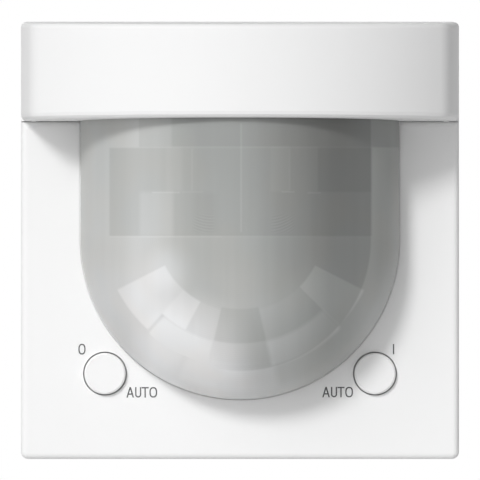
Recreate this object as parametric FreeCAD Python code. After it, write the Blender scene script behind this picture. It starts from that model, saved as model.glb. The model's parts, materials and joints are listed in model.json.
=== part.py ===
import FreeCAD, Part
import math
import os

# Wall motion detector: the plug-on sensor attachment of a 55 mm wall range.
# Millimetres. X runs to the right, Z up, and the front faces -Y.
# The origin is the centre of the collar's rear rim, where the part seats.

# Face: with this land beside the lens it is 55 mm wide
SIDE_LAND = 7.38
SPLIT_HEIGHT = 14.88
CORNER_RADIUS = 0.9
EDGE_ROUND = 0.75

# Depths, from the seat at the back to the front of the lower plate
COLLAR_LENGTH = 7.0
HOUSING_BASE = 1.5
SOLDER_SPACE = 1.5
BOARD_THICKNESS = 1.6
BOARD_SPACE = 2.7
CHASSIS_THICKNESS = 1.5
FLANGE_THICKNESS = 1.4
PLATE_THICKNESS = 1.8

# Cover skirts
SKIRT_DEPTH = 8.0
COVER_WALL = 1.6
COVER_GAP = 0.03
CHASSIS_GAP = 0.3
CATCH_LENGTH = 8.0
CATCH_PROUD = 0.5
CATCH_DEPTH = 1.4
CATCH_GAP = 0.1
CATCH_OFFSET = 12.0
CATCH_DROP = 8.0

# Lens. The facets lie between these angles, in degrees: on the half cylinder a row starts at
# each height, and on the quarter sphere a slope is off the front axis and a turn round it
LENS_RADIUS = 20.0
LENS_WALL = 0.9
LENS_TOP_LAND = 5.5
LENS_GAP = 0.12
LENS_STEP = 0.08
LENS_STEP_DROP = 0.1
FLANGE_WIDTH = 1.6
FACET_ROWS = (
    (0.0, (-90, -72, -55, -29, -17, 0, 17, 29, 55, 72, 90)),
    (6.0, (-90, -70, -55, -40, -25, 0, 25, 40, 55, 70, 90)),
    (11.4, (-90, -70, -55, -40, -25, 0, 25, 40, 55, 70, 90)),
)
FACET_SLOPES = (0, 10, 28, 40, 55, 67, 90)
FACET_TURNS = (-90, -72, -52, -33, -15, 15, 33, 52, 72, 90)

# Hood
HOOD_WALL = 1.2
HOOD_FRONT_RADIUS = 36.0
HOOD_CORNER_RADIUS = 4.5
HOOD_SIDE_RADIUS = 40.0
HOOD_LENS_GAP = 0.4
HOOD_TOP_DRAFT = 1.15
HOOD_LOWER_DRAFT = 0.95
HOOD_TOP_EDGE = 0.6
HOOD_LOWER_EDGE = 0.8
HOOD_EDGE_STEPS = 3

# Buttons and their tactile switches
BUTTON_DIAMETER = 5.2
BUTTON_GAP = 0.145
BUTTON_PROUD = 0.9
BUTTON_EDGE = 0.2
BUTTON_ANGLE = 44.7
BUTTON_LAND = 0.98
BUTTON_TRAVEL = 0.5
BUTTON_PLAY = 0.1
STOP_GAP = 0.05
SHOULDER_WIDTH = 0.7
SHOULDER_GAP = 0.3
STEM_SIZE = 2.2
STEM_LENGTH = 0.35
TACT_SIZE = 4.5
TACT_HEIGHT = 3.5
TACT_GAP = 0.4
PLUNGER_DIAMETER = 2.4
PLUNGER_GAP = 0.1
PLUNGER_HOLD = 0.7
PLUNGER_REST = 0.1
TERMINAL_WIDTH = 0.7
TERMINAL_THICKNESS = 0.25
TERMINAL_REACH = 0.9
TERMINAL_PITCH = 3.0

# Chassis
CHASSIS_OPENING_INSET = 1.5
CHASSIS_OPENING_DROP = 4.0
CHASSIS_LIP = 1.2
HOOK_WIDTH = 6.0
HOOK_GAP = 0.05
HOOK_LEDGE = 2.2
HOOK_BARB = 0.5
HOOK_BARB_LENGTH = 1.4
HOOK_NOTCH_GAP = 0.1
POST_SIZE = 1.8
POST_EDGE = 1.4
TOP_POST = 12.0
LOWER_POST = 8.0

# Light baffle
BAFFLE_WALL = 1.0
BAFFLE_GAP = 0.2
BAFFLE_RIM = 1.1
BAFFLE_WINDOW_WIDTH = 22.4
BAFFLE_WINDOW_HEIGHT = 12.4

# Heat sensors on their wedge
WEDGE_REACH = 8.9
WEDGE_WALL = 1.2
WEDGE_HEIGHT = 11.0
WEDGE_PEG_SIZE = 1.4
WEDGE_PEG_PLACE = (7.9, 4.8)
PYRO_PLACE = 6.36
PYRO_BASE_RADIUS = 4.6
PYRO_BASE_THICKNESS = 0.4
PYRO_CAN_RADIUS = 4.15
PYRO_CAN_HEIGHT = 4.2
PYRO_WINDOW = (3.0, 4.0)
PYRO_WINDOW_THICKNESS = 0.3
PYRO_LEAD_WIDTH = 0.45
PYRO_LEAD_CIRCLE = 2.54
PYRO_LEAD_GAP = 0.2
PYRO_LEAD_BACK = 1.75
LEAD_TAIL = 0.8

# Light parts
LED_PLACE = -12.5
LED_RADIUS = 1.5
LED_LENGTH = 5.5
LED_BEVEL = 0.6
LED_GAP = 0.2
GUIDE_PLACE = 12.5
GUIDE_SIZE = 3.0
GUIDE_GAP = 0.2
GUIDE_FLANGE_SIZE = 4.4
GUIDE_FLANGE = 1.0
GUIDE_PROUD = 1.6
LIGHT_SENSOR_SIZE = (4.0, 3.0)
LIGHT_SENSOR_HEIGHT = 1.1
LIGHT_SENSOR_GAP = 0.1

# Board
BOARD_GAP = 0.3
CONTROLLER_SIZE = 7.0
CONTROLLER_HEIGHT = 1.2
CONTROLLER_PLACE = (-8.0, 12.2)
CONTROLLER_PINS = 6
CONTROLLER_PITCH = 0.8
AMPLIFIER_SIZE = (5.0, 4.0)
AMPLIFIER_HEIGHT = 1.5
AMPLIFIER_PLACE = (8.5, -9.5)
AMPLIFIER_PINS = 4
AMPLIFIER_PITCH = 1.27
PIN_WIDTH = 0.35
PIN_REACH = 0.8
PIN_THICKNESS = 0.2
CAPACITOR_SIZE = (7.3, 4.3)
CAPACITOR_HEIGHT = 2.8
CAPACITOR_PLACE = (9.0, 12.0)
REGULATOR_SIZE = (6.5, 3.5)
REGULATOR_HEIGHT = 1.6
REGULATOR_PLACE = (-8.0, -9.0)
REGULATOR_TAB = (3.0, 1.6, 0.3)
CHIP_SIZE = (2.0, 1.25)
CHIP_HEIGHT = 0.6
CHIP_COLUMN = 14.2
CHIP_PITCH = 2.8
CHIPS_PER_COLUMN = 5

# Plug
HEADER_PITCH = 2.54
HEADER_COLUMNS = 5
HEADER_ROWS = 2
HEADER_HEIGHT = 2.54
HEADER_GAP = 0.3
HEADER_PIN_SIZE = 0.64
HEADER_PIN_GAP = 0.15
HEADER_PIN_INSET = 1.0

# Rear housing
HOUSING_GAP = 1.3
HOUSING_WALL = 1.5
HOUSING_CORNER = 2.0
COLLAR_SIZE = 36.0
COLLAR_WALL = 1.6
COLLAR_CORNER = 2.0
DETENT_PLACE = 2.5
DETENT_WIDTH = 1.2
DETENT_DEPTH = 0.5
DETENT_LENGTH = 24.0

# Extra length of a cutting tool past the face that it opens
PAST = 1.0

# Half of an octagon's turn from one side to the next, in degrees
OCTAGON_HALF_TURN = 22.5

# Planes across the depth, from the back to the front
BASE_BACK = -COLLAR_LENGTH
BASE_FRONT = BASE_BACK - HOUSING_BASE
BOARD_BACK = BASE_FRONT - SOLDER_SPACE
BOARD_FRONT = BOARD_BACK - BOARD_THICKNESS
CHASSIS_BACK = BOARD_FRONT - BOARD_SPACE
CHASSIS_FRONT = CHASSIS_BACK - CHASSIS_THICKNESS
PLATE_BACK = CHASSIS_FRONT - FLANGE_THICKNESS
FACE = PLATE_BACK - PLATE_THICKNESS
COVER_BACK = FACE + SKIRT_DEPTH

# Sizes that follow from the ones above
OPENING_RADIUS = LENS_RADIUS + LENS_GAP
HALF_FACE = OPENING_RADIUS + SIDE_LAND
FACE_SIZE = 2 * HALF_FACE
COVER_INSIDE = HALF_FACE - COVER_WALL
CHASSIS_HALF = COVER_INSIDE - CHASSIS_GAP
FLANGE_RADIUS = LENS_RADIUS + FLANGE_WIDTH
LENS_INSIDE = LENS_RADIUS - LENS_WALL
LENS_TOP = HALF_FACE - LENS_TOP_LAND
HOOD_REACH = LENS_RADIUS + HOOD_LENS_GAP + HOOD_WALL
HOOD_BOTTOM = SPLIT_HEIGHT + COVER_GAP
HOOD_INSIDE = HALF_FACE - HOOD_WALL
HOOD_TOP_SLOPE = math.tan(math.radians(HOOD_TOP_DRAFT))
HOOD_LOWER_SLOPE = math.tan(math.radians(HOOD_LOWER_DRAFT))
HOOD_TOP = HALF_FACE - HOOD_TOP_SLOPE * SKIRT_DEPTH
BUTTON_RADIUS = BUTTON_DIAMETER / 2
BUTTON_HOLE = BUTTON_RADIUS + BUTTON_GAP
BUTTON_ORBIT = OPENING_RADIUS + BUTTON_LAND + BUTTON_HOLE
BUTTON_X = BUTTON_ORBIT * math.cos(math.radians(BUTTON_ANGLE))
BUTTON_Z = -BUTTON_ORBIT * math.sin(math.radians(BUTTON_ANGLE))
SHOULDER_RADIUS = BUTTON_RADIUS + SHOULDER_WIDTH
SHOULDER_FRONT = PLATE_BACK + BUTTON_PLAY
SHOULDER_BACK = CHASSIS_FRONT - BUTTON_TRAVEL - STOP_GAP
STEM_END = SHOULDER_BACK + STEM_LENGTH
TACT_FRONT = BOARD_FRONT - TACT_HEIGHT
PLUNGER_BACK = TACT_FRONT + PLUNGER_HOLD
PLUNGER_BORE = PLUNGER_BACK + BUTTON_TRAVEL + PLUNGER_REST
OPENING_INSIDE = LENS_RADIUS - CHASSIS_OPENING_INSET
CHASSIS_OPENING_TOP = LENS_TOP - CHASSIS_OPENING_DROP
BAFFLE_RADIUS = OPENING_INSIDE - BAFFLE_GAP
BAFFLE_TOP = CHASSIS_OPENING_TOP - BAFFLE_GAP
BAFFLE_UNDERSIDE = CHASSIS_FRONT + BAFFLE_WALL
HOUSING_HALF = COVER_INSIDE - HOUSING_GAP
HOUSING_INSIDE = HOUSING_HALF - HOUSING_WALL
BOARD_HALF = HOUSING_INSIDE - BOARD_GAP
POST_PLACE = BOARD_HALF - POST_EDGE
HOOK_LEDGE_AT = CHASSIS_BACK + HOOK_LEDGE
HOOK_END = HOOK_LEDGE_AT + HOOK_BARB_LENGTH
HEADER_WIDTH = HEADER_COLUMNS * HEADER_PITCH
HEADER_DEPTH = HEADER_ROWS * HEADER_PITCH
SIDES = (("left", -1), ("right", 1))


# Plain forms

def vec(x, y, z):
    return FreeCAD.Vector(x, y, z)


def block(x0, x1, y0, y1, z0, z1):
    return Part.makeBox(x1 - x0, y1 - y0, z1 - z0, vec(x0, y0, z0))


def slab(x, z, width, height, y0, y1):
    """A block centred on (x, z) in the front view."""
    return block(x - width / 2, x + width / 2, y0, y1, z - height / 2, z + height / 2)


def rod(x, z, radius, y0, y1):
    """A round bar along the depth."""
    return Part.makeCylinder(radius, y1 - y0, vec(x, y0, z), vec(0, 1, 0))


def prism(points, direction):
    """A flat outline of points, pushed along a direction."""
    return Part.Face(Part.makePolygon(points + points[:1])).extrude(direction)


def runs_along(edge, axis):
    """True for a straight edge along one axis: 0 is X, 1 is Y and 2 is Z."""
    ends = [vertex.Point for vertex in edge.Vertexes]
    if len(ends) < 2 or not isinstance(edge.Curve, Part.Line):
        return False
    step = ends[1] - ends[0]
    return all(abs(step[other]) < 1e-6 for other in range(3) if other != axis)


def lies_at(edge, axis, value):
    """True for an edge that lies wholly in one plane across an axis."""
    box = edge.BoundBox
    low = (box.XMin, box.YMin, box.ZMin)[axis]
    high = (box.XMax, box.YMax, box.ZMax)[axis]
    return abs(low - value) < 1e-3 and abs(high - value) < 1e-3


def rounded(shape, radius, test):
    """The shape with every edge that passes the test rounded."""
    return shape.makeFillet(radius, [edge for edge in shape.Edges if test(edge)])


def bevelled(shape, size, test):
    """The shape with every edge that passes the test bevelled."""
    return shape.makeChamfer(size, [edge for edge in shape.Edges if test(edge)])


def rounded_slab(half, corner, y0, y1):
    """A square block, centred in the front view, with rounded corners."""
    return rounded(slab(0, 0, 2 * half, 2 * half, y0, y1), corner,
                   lambda edge: runs_along(edge, 1))


def arch(radius, top, y0, y1):
    """The lens outline: a half circle below the centre, straight sides up to the top."""
    foot = Part.Arc(vec(-radius, y0, 0), vec(0, y0, -radius), vec(radius, y0, 0))
    lines = Part.makePolygon([vec(radius, y0, 0), vec(radius, y0, top),
                              vec(-radius, y0, top), vec(-radius, y0, 0)])
    outline = Part.Wire([foot.toShape()] + lines.Edges)
    return Part.Face(outline).extrude(vec(0, y1 - y0, 0))


def faceted_arch(radius, top, y0, y1):
    """The same outline with straight sides: half an octagon that lies round the circle."""
    near = radius * math.tan(math.radians(OCTAGON_HALF_TURN))
    outline = [vec(-radius, y0, top), vec(-radius, y0, -near), vec(-near, y0, -radius),
               vec(near, y0, -radius), vec(radius, y0, -near), vec(radius, y0, top)]
    return prism(outline, vec(0, y1 - y0, 0))


def on_four_sides(shape):
    """A shape made on the right side, and its copies on the other three."""
    turned = []
    for quarter in range(4):
        copy = shape.copy()
        copy.rotate(vec(0, 0, 0), vec(0, 1, 0), quarter * 90)
        turned.append(copy)
    return turned


def fused(shapes):
    return shapes[0].multiFuse(shapes[1:]).removeSplitter()


def save(name, solids):
    """One file for each named piece, which may be several like solids."""
    Part.makeCompound(solids).exportStep(os.path.join("parts", name + ".step"))


# Covers

def catch_along_z(sign, inside, z):
    """A snap catch on a side wall that grips behind the chassis plate."""
    front = CHASSIS_BACK + CATCH_GAP
    low = z - CATCH_LENGTH / 2
    corners = [vec(sign * (inside + COVER_WALL / 2), front, low),
               vec(sign * (COVER_INSIDE - CATCH_PROUD), front, low),
               vec(sign * (inside + COVER_WALL / 2), front + CATCH_DEPTH, low)]
    return prism(corners, vec(0, 0, CATCH_LENGTH))


def catch_along_x(sign, inside, x):
    """A snap catch on the top or the bottom wall."""
    front = CHASSIS_BACK + CATCH_GAP
    low = x - CATCH_LENGTH / 2
    corners = [vec(low, front, sign * (inside + COVER_WALL / 2)),
               vec(low, front, sign * (COVER_INSIDE - CATCH_PROUD)),
               vec(low, front + CATCH_DEPTH, sign * (inside + COVER_WALL / 2))]
    return prism(corners, vec(CATCH_LENGTH, 0, 0))


def front_plate():
    tray = block(-HALF_FACE, HALF_FACE, FACE, COVER_BACK, -HALF_FACE, SPLIT_HEIGHT)
    tray = rounded(tray, CORNER_RADIUS,
                   lambda edge: runs_along(edge, 1) and lies_at(edge, 2, -HALF_FACE))
    tray = rounded(tray, EDGE_ROUND, lambda edge: lies_at(edge, 1, FACE))
    tray = tray.cut(block(-COVER_INSIDE, COVER_INSIDE, PLATE_BACK, COVER_BACK + PAST,
                          -COVER_INSIDE, SPLIT_HEIGHT + PAST))
    tray = tray.cut(arch(OPENING_RADIUS, SPLIT_HEIGHT + PAST, FACE - PAST, PLATE_BACK + PAST))
    for name, sign in SIDES:
        tray = tray.cut(rod(sign * BUTTON_X, BUTTON_Z, BUTTON_HOLE, FACE - PAST, PLATE_BACK + PAST))
    catches = [catch_along_z(sign, COVER_INSIDE, -CATCH_DROP) for name, sign in SIDES]
    catches += [catch_along_x(-1, COVER_INSIDE, sign * CATCH_OFFSET) for name, sign in SIDES]
    return fused([tray] + catches)


def hood_centres():
    """Where the hood's side, corner and front arcs on the right have their centres, seen from
    above. The corner arc touches the other two from inside."""
    side_x = HALF_FACE - HOOD_SIDE_RADIUS
    front_y = HOOD_FRONT_RADIUS - HOOD_REACH
    to_side = HOOD_SIDE_RADIUS - HOOD_CORNER_RADIUS
    to_front = HOOD_FRONT_RADIUS - HOOD_CORNER_RADIUS
    apart = math.hypot(side_x, front_y)
    along = (to_side ** 2 - to_front ** 2 + apart ** 2) / (2 * apart)
    aside = math.sqrt(to_side ** 2 - along ** 2)
    unit_x, unit_y = -side_x / apart, front_y / apart
    corner = (side_x + along * unit_x + aside * unit_y, along * unit_y - aside * unit_x)
    return (side_x, 0.0), corner, (0.0, front_y)


def hood_line(inset, back):
    """The hood's outline seen from above, drawn in by an inset: a wide front arc, round corners,
    bowed sides, and straight legs back to a depth."""
    side, corner, front = hood_centres()
    across = HALF_FACE - inset
    corner_start = math.atan2(corner[1] - side[1], corner[0] - side[0])
    front_start = math.atan2(corner[1] - front[1], corner[0] - front[0])
    arcs = ((side, HOOD_SIDE_RADIUS, 0.0, corner_start),
            (corner, HOOD_CORNER_RADIUS, corner_start, front_start),
            (front, HOOD_FRONT_RADIUS, front_start, -math.pi / 2))

    def at(centre, radius, angle, sign):
        x = centre[0] + (radius - inset) * math.cos(angle)
        return vec(sign * x, FACE + centre[1] + (radius - inset) * math.sin(angle), 0)

    edges = []
    for name, sign in SIDES:
        for centre, radius, start, end in arcs:
            points = [at(centre, radius, angle, sign) for angle in (start, (start + end) / 2, end)]
            edges.append(Part.Arc(*points).toShape())
    legs = [vec(across, FACE, 0), vec(across, back, 0), vec(-across, back, 0), vec(-across, FACE, 0)]
    if back == FACE:
        legs = legs[1:3]
    edges += Part.makePolygon(legs).Edges
    return Part.Wire(Part.sortEdges(edges)[0])


def tilted(line, slope, height):
    """A flat outline set at a height at the face's depth, and falling by a slope to the front."""
    turn = FreeCAD.Matrix()
    turn.A32 = slope
    turn.A34 = height - slope * FACE
    return line.transformGeometry(turn)


def edge_steps(size):
    """The corners of an edge rounded in flat steps: each one's inset and its drop."""
    steps = []
    for step in range(HOOD_EDGE_STEPS + 1):
        turn = math.pi / 2 * step / HOOD_EDGE_STEPS
        steps.append((size * (1 - math.sin(turn)), size * (1 - math.cos(turn))))
    return steps


def hood_front():
    """The hood ahead of the face: its lower side rises and its upper side falls to the front, and
    both have rounded edges."""
    lines = [tilted(hood_line(inset, FACE), -HOOD_LOWER_SLOPE, HOOD_BOTTOM + rise)
             for inset, rise in edge_steps(HOOD_LOWER_EDGE)]
    lines += [tilted(hood_line(inset, FACE), HOOD_TOP_SLOPE, HOOD_TOP - drop)
              for inset, drop in reversed(edge_steps(HOOD_TOP_EDGE))]
    return Part.makeLoft(lines, True, True)


def hood_legs():
    """The hood's skirt behind the face, flush with the plate's."""
    right = [vec(HALF_FACE - inset, FACE, HOOD_TOP - drop) for inset, drop in edge_steps(HOOD_TOP_EDGE)]
    left = [vec(-point.x, FACE, point.z) for point in reversed(right)]
    foot = HOOD_BOTTOM - PAST
    outline = right + [vec(HALF_FACE, FACE, foot), vec(-HALF_FACE, FACE, foot)] + left
    legs = prism(outline, vec(0, SKIRT_DEPTH, HOOD_TOP_SLOPE * SKIRT_DEPTH))
    return legs.cut(block(-FACE_SIZE, FACE_SIZE, FACE - PAST, COVER_BACK + PAST, 0, HOOD_BOTTOM))


def hood_hollow():
    """The space inside the hood, open at the back."""
    back = COVER_BACK + PAST
    column = Part.Face(hood_line(HOOD_WALL, back)).extrude(vec(0, 0, HALF_FACE))
    reach = HOOD_REACH + PAST
    low = HOOD_BOTTOM + HOOD_WALL
    high = HOOD_TOP - HOOD_WALL
    side_view = [vec(-FACE_SIZE, back, low),
                 vec(-FACE_SIZE, back, high + HOOD_TOP_SLOPE * (back - FACE)),
                 vec(-FACE_SIZE, FACE - reach, high - HOOD_TOP_SLOPE * reach),
                 vec(-FACE_SIZE, FACE - reach, low + HOOD_LOWER_SLOPE * reach),
                 vec(-FACE_SIZE, FACE, low)]
    return column.common(prism(side_view, vec(2 * FACE_SIZE, 0, 0)))


def hood():
    shell = fused([hood_front(), hood_legs()]).cut(hood_hollow())
    low = HOOD_BOTTOM - PAST
    high = HOOD_BOTTOM + HOOD_WALL + PAST
    bay = Part.makeCylinder(OPENING_RADIUS, high - low, vec(0, FACE, low))
    bay = bay.fuse(block(-OPENING_RADIUS, OPENING_RADIUS, FACE, COVER_BACK + PAST, low, high))
    bay = bay.fuse(block(-HOOD_INSIDE, HOOD_INSIDE, PLATE_BACK, COVER_BACK + PAST, low, high))
    shell = shell.cut(bay)
    middle = (HOOD_BOTTOM + HALF_FACE) / 2
    catches = [catch_along_z(sign, HOOD_INSIDE, middle) for name, sign in SIDES]
    catches += [catch_along_x(1, HOOD_INSIDE, sign * CATCH_OFFSET) for name, sign in SIDES]
    return fused([shell] + catches)


# Lens

def dome_block(radius, top, back):
    """A half cylinder above the centre and a quarter sphere below, with straight sides behind."""
    centre = vec(0, FACE, 0)
    upper = Part.makeCylinder(radius, top, centre)
    ball = Part.makeSphere(radius, centre)
    reach = radius + PAST
    upper = upper.common(block(-reach, reach, FACE - reach, FACE, 0, top))
    lower = ball.common(block(-reach, reach, FACE - reach, FACE, -reach, 0))
    return fused([arch(radius, top, FACE, back), upper, lower])


def flat(points):
    return Part.Face(Part.makePolygon(points + points[:1]))


def facet_row(low, high, angles):
    """One row of the hollow: an upright prism with a flat facet between each two angles."""
    outline = []
    for angle in angles:
        turn = math.radians(angle)
        outline.append(vec(LENS_INSIDE * math.sin(turn), FACE - LENS_INSIDE * math.cos(turn), low))
    return prism(outline, vec(0, 0, high - low))


def facet_corner(slope, turn):
    """A corner of the facets on the quarter sphere."""
    slope = math.radians(slope)
    turn = math.radians(turn)
    ring = LENS_INSIDE * math.sin(slope)
    return vec(ring * math.sin(turn), FACE - LENS_INSIDE * math.cos(slope), -ring * math.cos(turn))


def facet_bowl():
    """The hollow of the quarter sphere, with a flat facet in each cell of its grid."""
    faces = []
    for near, far in zip(FACET_SLOPES, FACET_SLOPES[1:]):
        for start, end in zip(FACET_TURNS, FACET_TURNS[1:]):
            corners = [facet_corner(near, start), facet_corner(far, start), facet_corner(far, end)]
            if near > 0:
                corners.append(facet_corner(near, end))
            faces.append(flat(corners))
    first, last = FACET_TURNS[0], FACET_TURNS[-1]
    faces.append(flat([facet_corner(FACET_SLOPES[-1], turn) for turn in FACET_TURNS]))
    faces.append(flat([facet_corner(slope, first) for slope in reversed(FACET_SLOPES)]
                      + [facet_corner(slope, last) for slope in FACET_SLOPES[1:]]))
    bowl = Part.Solid(Part.Shell(faces))
    if bowl.Volume < 0:
        bowl.reverse()
    return bowl


def lens_hollow():
    """The space inside the lens. Its wall is thickest in the middle of each flat facet."""
    top = LENS_TOP - LENS_WALL
    tops = [row[0] for row in FACET_ROWS[1:]] + [top]
    rows = [facet_row(low, high, angles) for (low, angles), high in zip(FACET_ROWS, tops)]
    return fused([arch(LENS_INSIDE, top, FACE, CHASSIS_FRONT + PAST), facet_bowl()] + rows)


def lens_dome():
    skin = dome_block(LENS_RADIUS, LENS_TOP, PLATE_BACK)
    step = arch(LENS_RADIUS + LENS_STEP, LENS_TOP, FACE + LENS_STEP_DROP, PLATE_BACK)
    flange = arch(FLANGE_RADIUS, LENS_TOP, PLATE_BACK, CHASSIS_FRONT)
    for name, sign in SIDES:
        clear = SHOULDER_RADIUS + SHOULDER_GAP
        flange = flange.cut(rod(sign * BUTTON_X, BUTTON_Z, clear, PLATE_BACK - PAST, 0))
    return fused([skin, step, flange]).cut(lens_hollow())


# Carrier and baffle

def clamp_posts(y0, y1):
    """Square posts that hold the board between the chassis and the rear housing."""
    places = [(TOP_POST, POST_PLACE), (LOWER_POST, -POST_PLACE)]
    return [slab(sign * x, z, POST_SIZE, POST_SIZE, y0, y1)
            for x, z in places for name, sign in SIDES]


def hook():
    """A snap arm on the right side. Its barb grips the rear housing's wall from outside."""
    inner = HOUSING_HALF + HOOK_GAP
    low = -HOOK_WIDTH / 2
    outline = [vec(CHASSIS_HALF, CHASSIS_BACK, low), vec(CHASSIS_HALF, HOOK_END, low),
               vec(inner, HOOK_END, low), vec(inner - HOOK_BARB, HOOK_LEDGE_AT, low),
               vec(inner, HOOK_LEDGE_AT, low), vec(inner, CHASSIS_BACK, low)]
    return prism(outline, vec(0, 0, HOOK_WIDTH))


def hook_notch():
    """The pocket in the rear housing's right wall that takes the barb."""
    half = HOOK_WIDTH / 2 + HOOK_NOTCH_GAP
    return block(HOUSING_HALF - HOOK_BARB, HOUSING_HALF + PAST, HOOK_LEDGE_AT, HOOK_END, -half, half)


def chassis():
    plate = slab(0, 0, 2 * CHASSIS_HALF, 2 * CHASSIS_HALF, CHASSIS_FRONT, CHASSIS_BACK)
    inner = 2 * (CHASSIS_HALF - CHASSIS_LIP)
    lip = slab(0, 0, 2 * CHASSIS_HALF, 2 * CHASSIS_HALF, PLATE_BACK, CHASSIS_FRONT)
    lip = lip.cut(slab(0, 0, inner, inner, PLATE_BACK - PAST, CHASSIS_FRONT + PAST))
    plate = plate.fuse(lip)
    plate = plate.cut(arch(OPENING_INSIDE, CHASSIS_OPENING_TOP,
                           CHASSIS_FRONT - PAST, CHASSIS_BACK + PAST))
    window = TACT_SIZE + 2 * TACT_GAP
    for name, sign in SIDES:
        plate = plate.cut(slab(sign * BUTTON_X, BUTTON_Z, window, window,
                               CHASSIS_FRONT - PAST, CHASSIS_BACK + PAST))
    return fused([plate] + on_four_sides(hook()) + clamp_posts(CHASSIS_BACK, BOARD_FRONT))


def light_baffle():
    rim_back = CHASSIS_BACK + BAFFLE_WALL
    hat = arch(BAFFLE_RADIUS, BAFFLE_TOP, CHASSIS_FRONT, CHASSIS_BACK)
    rim = faceted_arch(OPENING_INSIDE + BAFFLE_RIM, CHASSIS_OPENING_TOP + BAFFLE_RIM,
                       CHASSIS_BACK, rim_back)
    hat = fused([hat, rim])
    hollow = (BAFFLE_RADIUS - BAFFLE_WALL) * math.cos(math.radians(OCTAGON_HALF_TURN))
    hat = hat.cut(faceted_arch(hollow, BAFFLE_TOP - BAFFLE_WALL, BAFFLE_UNDERSIDE, rim_back + PAST))
    hat = hat.cut(slab(0, 0, BAFFLE_WINDOW_WIDTH, BAFFLE_WINDOW_HEIGHT,
                       CHASSIS_FRONT - PAST, rim_back))
    hat = hat.cut(rod(0, LED_PLACE, LED_RADIUS + LED_GAP, CHASSIS_FRONT - PAST, rim_back))
    window = GUIDE_SIZE + 2 * GUIDE_GAP
    return hat.cut(slab(0, GUIDE_PLACE, window, window, CHASSIS_FRONT - PAST, rim_back))


# Heat sensors

def facing(shape, sign):
    """Turns a shape made along -Y to face 45 degrees aside, on the wedge's face."""
    shape.rotate(vec(0, 0, 0), vec(0, 0, 1), sign * 45)
    along = PYRO_PLACE / math.sqrt(2)
    shape.translate(vec(sign * along, BOARD_FRONT - WEDGE_REACH + along, 0))
    return shape


def lead_offsets(sign):
    """The three lead places on a sensor's base, across it and up."""
    return ((0, PYRO_LEAD_CIRCLE), (0, -PYRO_LEAD_CIRCLE), (sign * PYRO_LEAD_CIRCLE, 0))


def sensor_bracket():
    half = WEDGE_HEIGHT / 2

    def wedge(reach, half_height, back):
        tip = [vec(-reach, back, -half_height), vec(0, back - reach, -half_height),
               vec(reach, back, -half_height)]
        return prism(tip, vec(0, 0, 2 * half_height))

    body = wedge(WEDGE_REACH, half, BOARD_FRONT)
    inner_reach = WEDGE_REACH - WEDGE_WALL * math.sqrt(2)
    body = body.cut(wedge(inner_reach, half - WEDGE_WALL, BOARD_FRONT))
    for name, sign in SIDES:
        for across, up in lead_offsets(sign):
            wide = PYRO_LEAD_WIDTH + 2 * PYRO_LEAD_GAP
            hole = slab(across, up, wide, wide, -PAST, WEDGE_WALL + PAST)
            body = body.cut(facing(hole, sign))
    x, z = WEDGE_PEG_PLACE
    pegs = [slab(sign * x, sign * z, WEDGE_PEG_SIZE, WEDGE_PEG_SIZE, BOARD_FRONT, BOARD_BACK)
            for name, sign in SIDES]
    return fused([body] + pegs)


def pyro(sign):
    front = -PYRO_BASE_THICKNESS - PYRO_CAN_HEIGHT
    base = rod(0, 0, PYRO_BASE_RADIUS, -PYRO_BASE_THICKNESS, 0)
    can = rod(0, 0, PYRO_CAN_RADIUS, front, -PYRO_BASE_THICKNESS)
    width, height = PYRO_WINDOW
    pocket = slab(0, 0, width, height, front - PAST, front + PYRO_WINDOW_THICKNESS)
    return facing(fused([base, can]).cut(pocket), sign)


def pyro_window(sign):
    front = -PYRO_BASE_THICKNESS - PYRO_CAN_HEIGHT
    width, height = PYRO_WINDOW
    return facing(slab(0, 0, width, height, front, front + PYRO_WINDOW_THICKNESS), sign)


def pyro_leads():
    """Flat wires that run back through the wedge, then straight down to the board's front."""
    leads = []
    half = PYRO_LEAD_WIDTH / 2
    for name, sign in SIDES:
        aslant = vec(-sign, 1, 0).normalize()
        beside = vec(1, sign, 0).normalize() * half
        mitre = vec(half, sign * half * math.tan(math.radians(OCTAGON_HALF_TURN)), 0)
        across = vec(half, 0, 0)
        for place, up in lead_offsets(sign):
            low = vec(0, 0, -half)
            start = facing(Part.Vertex(place, 0, up), sign).Point + low
            turn = start + aslant * PYRO_LEAD_BACK
            end = vec(turn.x, BOARD_FRONT, turn.z)
            outline = [start + beside, turn + mitre, end + across,
                       end - across, turn - mitre, start - beside]
            leads.append(prism(outline, vec(0, 0, PYRO_LEAD_WIDTH)))
    return leads


# Light parts

def status_led():
    tip = BOARD_FRONT - LED_LENGTH
    barrel = rod(0, LED_PLACE, LED_RADIUS, tip, BOARD_FRONT)
    return bevelled(barrel, LED_BEVEL, lambda edge: lies_at(edge, 1, tip))


def light_sensor():
    width, height = LIGHT_SENSOR_SIZE
    return slab(0, GUIDE_PLACE, width, height, BOARD_FRONT - LIGHT_SENSOR_HEIGHT, BOARD_FRONT)


def light_guide():
    back = BOARD_FRONT - LIGHT_SENSOR_HEIGHT - LIGHT_SENSOR_GAP
    tip = CHASSIS_FRONT - GUIDE_PROUD
    bar = slab(0, GUIDE_PLACE, GUIDE_SIZE, GUIDE_SIZE, tip, back)
    flange = slab(0, GUIDE_PLACE, GUIDE_FLANGE_SIZE, GUIDE_FLANGE_SIZE, BAFFLE_UNDERSIDE,
                  BAFFLE_UNDERSIDE + GUIDE_FLANGE)
    return fused([bar, flange])


# Board and what stands on it

def header_places():
    """The places of the plug's pins in the front view."""
    first_x = -(HEADER_COLUMNS - 1) * HEADER_PITCH / 2
    first_z = -(HEADER_ROWS - 1) * HEADER_PITCH / 2
    return [(first_x + column * HEADER_PITCH, first_z + row * HEADER_PITCH)
            for row in range(HEADER_ROWS) for column in range(HEADER_COLUMNS)]


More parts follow.
